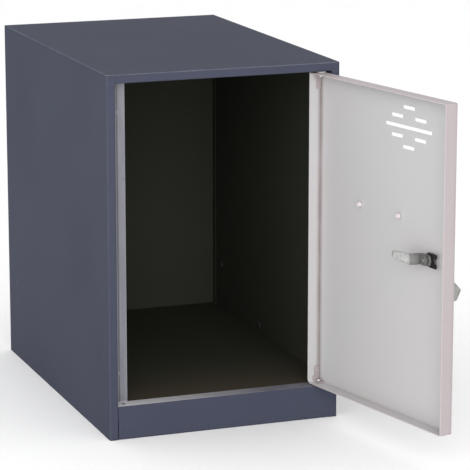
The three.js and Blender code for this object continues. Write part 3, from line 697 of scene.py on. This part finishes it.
def lockBarrel():
    # a tube whose outside is radius less thread depth times the wave, faded out at both ends
    p = barrel
    height = np.linspace(p["front"], p["back"], 80)
    angle = np.linspace(0, 2 * np.pi, 72, endpoint=False)
    fade = (np.clip((p["front"] - p["plain"] - height) / 1.0, 0, 1)
            * np.clip((height - p["back"]) / p["runOut"], p["least"], 1))
    wave = threadWave(angle[None, :], height[:, None], p["pitch"]) * fade[:, None]
    radius = p["radius"] - p["thread"] * wave
    radius[-1] -= p["backChamfer"]
    radius[0] -= p["frontChamfer"]
    outside = np.stack([radius * np.cos(angle), radius * np.sin(angle),
                        np.broadcast_to(height[:, None], radius.shape)], -1)
    inside = lathe([[p["bore"], p["back"]], [p["bore"], p["front"]]], 72)
    thing = closedMesh("lockBarrel", [(alongDoor(np.concatenate([outside, inside])), True)])
    return fit(smooth(thing, 50), "door", "lock_zinc", "lock_barrel")


barrelNut = {"across": 16, "bore": 6.8, "low": -4.3, "high": -1.3}
camNut = {"across": 12, "bore": 3.2, "low": -14.8, "high": -10.8}
nutEdge = {"outer": 0.35, "bore": 0.4}


def nut(name, node, body, p):
    # a hexagon with a round bore, cut back at thirty degrees towards its corners
    grid = holedPlate(hexagon(p["across"]), roundHole(np.zeros(2), p["bore"]), p["low"], p["high"],
                      nutEdge["outer"], fill=8, holeEdge=nutEdge["bore"])
    grid = nutFaces(grid, p["across"], p["low"], p["high"])
    thing = closedMesh(name, [(alongDoor(grid), True)])
    return fit(smooth(thing, 25), body, "lock_zinc", node)


shaft = {"radius": 4.2, "square": 3.2, "squareRound": 1.30, "end": 2.9, "front": 14.4,
         "turned": -5.0, "squareEnd": -10.65, "back": -15.8, "pitch": 0.8, "thread": 0.32,
         "step": 0.02, "half": 0.01}


def spindle():
    # round, then square, then a threaded end: the radius depends on both angle and distance
    p = shaft
    step, front, turned, squareEnd, back = (
        p[key] for key in ("step", "front", "turned", "squareEnd", "back"))
    angle = np.linspace(0, 2 * np.pi, 96, endpoint=False)
    height = np.concatenate([
        [front, front, front - 0.25, front - 0.6], np.linspace(front - 1, turned + step, 10),
        [turned], np.linspace(turned - step, squareEnd + step, 8),
        [squareEnd], np.linspace(squareEnd - step, back + 0.3, 66), [back, back]])
    share = np.ones_like(height)
    share[:4] = [0, 0.80, 0.93, 1]
    share[-2:] = [0.8, 0]
    spoke = np.maximum(np.abs(np.cos(angle)), np.abs(np.sin(angle)))
    square = np.minimum(p["square"] / spoke, p["square"] * p["squareRound"])
    grooves = p["end"] - p["thread"] * threadWave(angle[None, :], height[:, None], p["pitch"])
    radius = np.where(height[:, None] > turned - p["half"], p["radius"],
                      np.where(height[:, None] > squareEnd - p["half"], square[None, :], grooves))
    radius = radius * share[:, None]
    grid = np.stack([radius * np.cos(angle), radius * np.sin(angle),
                     np.broadcast_to(height[:, None], radius.shape)], -1)
    thing = closedMesh("spindle", [(alongDoor(grid), False)])
    return fit(smooth(thing, 40), "latch", "lock_zinc", "spindle")


horns = {"low": -7.4, "high": -5.9, "edge": 0.4, "square": 3.5, "outline": [
    [7.5, -5, 3], [7.5, 5, 3], [1, 8, 3], [-6, 8.6, 2.5], [-16.5, 8.9, 1.6], [-16.5, 4.2, 1.6],
    [-6.4, 0, 1.2], [-16.5, -4.2, 1.6], [-16.5, -8.9, 1.6], [-6, -8.6, 2.5], [1, -8, 3]]}


def stopWasher():
    # a thin plate with two horns and a notch between them, on the spindle's square
    p = horns
    outline = evenly(roundCorners(p["outline"], 8), 280)
    grid = holedPlate(outline, squareHole(np.zeros(2), p["square"]), p["low"], p["high"], p["edge"],
                      fill=6)
    thing = closedMesh("stopWasher", [(alongDoor(grid), True)])
    return fit(smooth(thing), "latch", "washer_black", "stop_washer")


tongue = {"low": -10.5, "high": -7.7, "edge": 0.55, "square": 3.5, "crankFrom": 8.2,
          "crankTo": 15.2, "crank": -13.45, "thinner": 0.11, "lean": 1.6, "outline": [
              [-8, -6.8, 4], [17.5, -6.8, 3], [49.6, -4.4, 4.2], [49.6, 4.4, 4.2], [17.5, 6.8, 3],
              [-8, 6.8, 4]]}


def cam():
    # a strap with rounded edges; its stand-off follows a smooth step, 3t^2 - 2t^3
    p = tongue
    outline = evenly(roundCorners(p["outline"], 8), 420)
    grid = holedPlate(outline, squareHole(np.zeros(2), p["square"]), p["low"], p["high"], p["edge"],
                      fill=60)
    # past the block the strap steps back along a steep ramp, then runs on as the tongue
    share = np.clip((grid[..., 0] - p["crankFrom"]) / (p["crankTo"] - p["crankFrom"]), 0, 1)
    slope = 2 * share * (1 - share)
    share = share * share * (3 - 2 * share)
    middle = (p["low"] + p["high"]) / 2
    thick = grid[..., 2] - middle
    grid[..., 2] = middle + thick * (1 - p["thinner"] * share) + p["crank"] * share
    # on the ramp the thickness lies across the strap, so its faces shift along it
    grid[..., 0] += thick * slope * p["lean"]
    thing = closedMesh("cam", [(alongDoor(grid), True)])
    return fit(smooth(thing), "latch", "cam_steel", "cam")


lockPlate()
handle()
lockBarrel()
nut("barrelNut", "barrel_nut", "door", barrelNut)
spindle()
stopWasher()
cam()
nut("camNut", "cam_nut", "latch", camNut)
print("lock and latch built")


def quarter(steps=9):
    # angles of a quarter turn, for domes
    return np.linspace(0, np.pi / 2, steps)


def upright(grid, centre, swingIt):
    # radius and angle in the floor's plane, distance along +Z
    points = np.stack([centre[0] + grid[..., 0] * mm, centre[1] + grid[..., 1] * mm,
                       grid[..., 2] * mm], -1)
    return swung(points) if swingIt else points


def hingeEnds(node):
    # the end that faces the door's middle, the other end, and +1 when the piece points up
    low, high = (corner[2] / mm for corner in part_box(node))
    return (low, high, 1) if node.endswith("top") else (high, low, -1)


pin = {"head": 3.6, "dome": 0.9, "headLong": 3, "shank": 2.5, "edge": 0.25, "tip": 1.6}


def hingePin(name, node):
    # low domed head, plain shank and a rounded tip
    p = pin
    head, tip, sign = hingeEnds(node)
    dome = [[p["head"] * math.sin(a), head + sign * p["dome"] * (1 - math.cos(a))]
            for a in quarter()]
    neck = head + sign * p["headLong"]
    profile = [*dome, [p["head"], neck - sign * p["edge"]], [p["head"] - p["edge"], neck],
               [p["shank"], neck], [p["shank"], tip - sign * 0.9], [2.2, tip - sign * 0.35],
               [p["tip"], tip], [0, tip]]
    thing = closedMesh(name, [(upright(lathe(profile), pivot, True), False)])
    return fit(smooth(thing), "door", "pin_steel", node)


bush = {"bore": 2.8, "flange": 6.0, "flangeThick": 1.4, "body": 3.5, "edge": 0.15}


def hingeBush(name, node):
    # a flanged sleeve round the pin
    p = bush
    face, end, sign = hingeEnds(node)
    back = face + sign * p["flangeThick"]
    profile = [[p["bore"], face + sign * 0.2], [p["bore"] + 0.2, face], [p["flange"] - 0.4, face],
               [p["flange"] - 0.1, face + sign * 0.12], [p["flange"], face + sign * 0.4],
               [p["flange"], back - sign * p["edge"]], [p["flange"] - p["edge"], back],
               [p["body"], back], [p["body"], end - sign * 0.25], [p["body"] - 0.2, end],
               [p["bore"], end]]
    thing = closedMesh(name, [(upright(lathe(profile), pivot, False), True)])
    return fit(smooth(thing), "cell", "bush_nylon", node)


rivet = {"apart": 40.3, "head": 3.4, "headOut": 2.2, "dome": 1.1, "shank": 1.6, "tail": -1.3,
         "waist": 2.45, "swell": 0.75, "swellAt": -2.9, "swellLong": 1.5, "end": 2.1,
         "endRound": 0.42, "endAt": -5.5, "endLong": 0.7, "stem": 1.0, "stemAt": -5.9}


def cardRivet(name, node, side):
    # low round head outside, long swollen tail inside that closes round the broken-off stem
    p = rivet
    holder = unswung(np.array(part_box("card_holder")).mean(axis=0))
    head = [[p["head"] * math.sin(a), p["headOut"] - p["dome"] * (1 - math.cos(a))]
            for a in quarter()]
    bulb = [[p["waist"] + p["swell"] * math.sin(a), p["swellAt"] + p["swellLong"] * math.cos(a)]
            for a in np.linspace(0.3, 2.6, 14)]
    tip = [[p["end"] + p["endRound"] * math.cos(a), p["endAt"] - p["endLong"] * math.sin(a)]
           for a in quarter(6)]
    profile = [*head, [p["shank"], p["headOut"] - p["dome"]], [p["shank"], p["tail"]],
               [2.5, p["tail"]], *bulb, *tip, [1.2, p["endAt"] - p["endLong"]],
               [p["stem"], p["stemAt"]], [0.7, p["stemAt"]], [0, p["stemAt"] - 0.05]]
    grid = lathe(profile, 48)
    points = np.stack([holder[0] + (side * p["apart"] + grid[..., 0]) * mm,
                       faceY - grid[..., 2] * mm, holder[2] + grid[..., 1] * mm], -1)
    thing = closedMesh(name, [(swung(points), False)])
    return fit(smooth(thing), "door", "rivet_metal", node)


plug = {"head": 5.0, "dome": 0.9, "headThick": 1.4, "shank": 2.7, "edge": 0.25, "hollow": 1.2,
        "dip": 0.2}


def holePlug(name, node):
    # domed head inside the wall, flat shank end in the hole
    p = plug
    low, high = (np.array(corner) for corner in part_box(node))
    side = 1 if low[0] > 0 else -1
    centre = (low + high) / 2
    head = (low[0] if side > 0 else high[0]) / mm
    tip = (high[0] if side > 0 else low[0]) / mm
    back = head + side * p["headThick"]
    dome = [[p["head"] * math.sin(a), head + side * p["dome"] * (1 - math.cos(a))]
            for a in quarter(8)]
    profile = [*dome, [p["head"], back], [p["shank"], back], [p["shank"], tip - side * p["edge"]],
               [p["shank"] - p["edge"], tip], [p["hollow"], tip], [0.9, tip - side * p["dip"]],
               [0, tip - side * p["dip"]]]
    grid = lathe(profile, 48)
    points = np.stack([grid[..., 2] * mm, centre[1] + grid[..., 0] * mm,
                       centre[2] + grid[..., 1] * mm], -1)
    thing = closedMesh(name, [(points, False)])
    return fit(smooth(thing), "cell", "plug_plastic", node)


pad = {"middle": 2.2, "dip": 0.12, "ring": (2.5, 2.9), "ringDip": 0.25, "crest": 3.5, "radius": 4.0,
       "edge": 0.2}


def buffer(name, node):
    # a low disc with a shallow groove and a raised rim
    p = pad
    low, high = (np.array(corner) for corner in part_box(node))
    centre = (low + high) / 2
    thick = (high[1] - low[1]) / mm
    profile = [[0, p["dip"]], [p["middle"], p["dip"]], [p["ring"][0], p["ringDip"]],
               [p["ring"][1], p["ringDip"]], [3.15, 0.08], [p["crest"], 0], [3.85, 0.12],
               [p["radius"], 0.4], [p["radius"], thick - p["edge"]],
               [p["radius"] - p["edge"], thick], [0, thick]]
    grid = lathe(profile, 48)
    points = np.stack([centre[0] + grid[..., 0] * mm, low[1] + grid[..., 2] * mm,
                       centre[2] + grid[..., 1] * mm], -1)
    thing = closedMesh(name, [(points, False)])
    return fit(smooth(thing), "cell", "buffer_rubber", node)


seam = {"centre": 10.4 * mm, "halfWidth": 1.15, "front": 0.04, "depth": 1.7, "ripple": 0.03,
        "wave": 5.5, "squareness": 0.4, "endShare": 0.9}


def seamFill(name, side, low, high):
    # painted filler in the groove beside a stile: a squarish section, slightly uneven along it
    p = seam
    rows = 60
    height = np.linspace(low, high, rows)
    around = np.linspace(0, 2 * np.pi, 40, endpoint=False)
    across = np.sign(np.cos(around)) * np.abs(np.cos(around)) ** p["squareness"]
    deep = np.sign(np.sin(around)) * np.abs(np.sin(around)) ** p["squareness"]
    share = np.ones(rows)
    share[[0, -1]] = 0
    share[[1, -2]] = p["endShare"]
    height[[0, -1]] = height[[1, -2]]
    uneven = p["ripple"] * (1 + np.sin(height / mm * 2 * np.pi / p["wave"]))[:, None]
    centreX = side * (outerX - p["centre"])
    centreY = frontY + (p["front"] + p["depth"] / 2) * mm
    x = centreX + across * p["halfWidth"] * mm * share[:, None]
    y = centreY + deep * (p["depth"] / 2 - uneven) * mm * share[:, None]
    grid = np.stack([x, y, np.broadcast_to(height[:, None], x.shape)], -1)
    thing = closedMesh(name, [(grid, False)])
    return fit(smooth(thing), "cell", "body_paint")


railLow, railHigh = topZ - 10.7 * mm, topZ - 0.8 * mm
plinthLow, plinthHigh = (corner[2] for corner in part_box("plinth_front"))
seamFill("railSeamLeft", -1, railLow, railHigh)
seamFill("railSeamRight", 1, railLow, railHigh)
seamFill("plinthSeamRight", 1, plinthLow + 0.8 * mm, plinthHigh - 0.6 * mm)
hingePin("hingePinTop", "hinge_pin_top")
hingePin("hingePinBottom", "hinge_pin_bottom")
hingeBush("hingeBushTop", "hinge_bush_top")
hingeBush("hingeBushBottom", "hinge_bush_bottom")
cardRivet("cardRivetLeft", "card_rivet_left", -1)
cardRivet("cardRivetRight", "card_rivet_right", 1)
for sideName in ("left", "right"):
    for place in (1, 2, 3):
        holePlug(f"holePlug{sideName.title()}{place}", f"hole_plug_{sideName}_{place}")
buffer("stopBufferUpper", "stop_buffer_upper")
buffer("stopBufferLower", "stop_buffer_lower")
print("small pieces built")


stage = {"floorSize": 40.0, "floor": (0.96, 0.96, 0.96), "floorRoughness": 0.8, "world": 1.0}
studio = {  # name: place, size, power
    "frontSoft": ((-0.9, -4.4, 1.6), 3.0, 118.0),
    "keyLeft": ((-3.4, -2.2, 1.6), 3.0, 30.0),
}
lampAim = (0.05, 0.05, 0.22)
view = {"place": (-1.0679, -2.9029, 0.94985), "yaw": 20.49, "pitch": -12.77, "lens": 194.8,
        "sensor": 36, "far": 100}

floorMesh = bpy.data.meshes.new("floor")
reach = stage["floorSize"] / 2
floorMesh.from_pydata([(-reach, -reach, 0), (reach, -reach, 0), (reach, reach, 0),
                       (-reach, reach, 0)], [], [(0, 1, 2, 3)])
floor = bpy.data.objects.new("floor", floorMesh)
bpy.context.scene.collection.objects.link(floor)
floorMesh.materials.append(Finish("floor").shade(stage["floor"], stage["floorRoughness"]))

world = bpy.data.worlds.new("studio")
bpy.context.scene.world = world
world.use_nodes = True
background = world.node_tree.nodes["Background"]
background.inputs["Color"].default_value = (1, 1, 1, 1)
background.inputs["Strength"].default_value = stage["world"]

for name, (place, size, power) in studio.items():
    lamp = bpy.data.lights.new(name, "AREA")
    lamp.shape = "SQUARE"
    lamp.size = size
    lamp.energy = power
    holder = bpy.data.objects.new(name, lamp)
    holder.location = place
    # the lamp's -Z axis points at the aim
    ahead = np.array(lampAim) - np.array(place)
    tilt = math.atan2(math.hypot(ahead[0], ahead[1]), -ahead[2])
    holder.rotation_euler = (tilt, 0, math.atan2(ahead[1], ahead[0]) - math.pi / 2)
    bpy.context.scene.collection.objects.link(holder)

eye = bpy.data.cameras.new("camera")
eye.lens = view["lens"]
eye.sensor_width = view["sensor"]
eye.clip_end = view["far"]
camera = bpy.data.objects.new("camera", eye)
camera.location = view["place"]
camera.rotation_euler = (math.radians(90 + view["pitch"]), 0, -math.radians(view["yaw"]))
bpy.context.scene.collection.objects.link(camera)
bpy.context.scene.camera = camera
bpy.context.scene.view_settings.view_transform = "Standard"
print("stage set")
